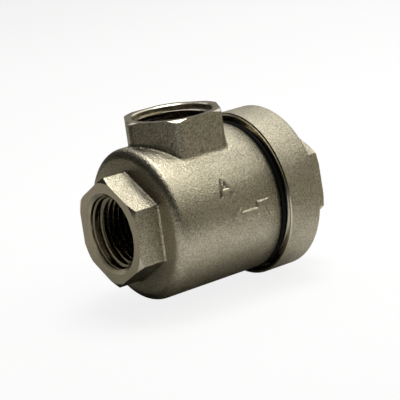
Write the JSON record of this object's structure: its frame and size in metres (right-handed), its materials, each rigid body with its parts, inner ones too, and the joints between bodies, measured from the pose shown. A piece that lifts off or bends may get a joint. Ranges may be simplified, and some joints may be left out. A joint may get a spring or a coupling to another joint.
{
  "type": "quick exhaust valve",
  "caption": "Quick exhaust valve: round metal body with hexagonal exhaust and outlet ports, a screwed end cap with the inlet port, and a sliding cup seal inside.",
  "frame": {"origin": "centre of the inlet port's mouth, where the supply pipe screws in and holds the valve", "axes": "+X out of the inlet port along the common axis of the inlet and exhaust ports, +Z along the outlet port's axis, out of its mouth"},
  "size_m": [0.065, 0.0474, 0.0519],
  "materials": {
    "body_plating": "nickel plated brass, blasted outside and turned smooth at the ports",
    "cap_plating": "nickel plated brass, blasted outside and turned smooth at the port",
    "seal_rubber": "moulded, matt",
    "o_ring_rubber": "moulded, satin"
  },
  "bodies": {
    "housing": {"valve_body": "body_plating", "end_cap": "cap_plating", "cap_o_ring": "o_ring_rubber"},
    "seal": {"cup_seal": "seal_rubber"}
  },
  "joints": [
    {"name": "seal_slide", "type": "slide", "parent": "housing", "child": "seal", "axis": [1, 0, 0], "range_m": [-0.003, 0]}
  ]
}
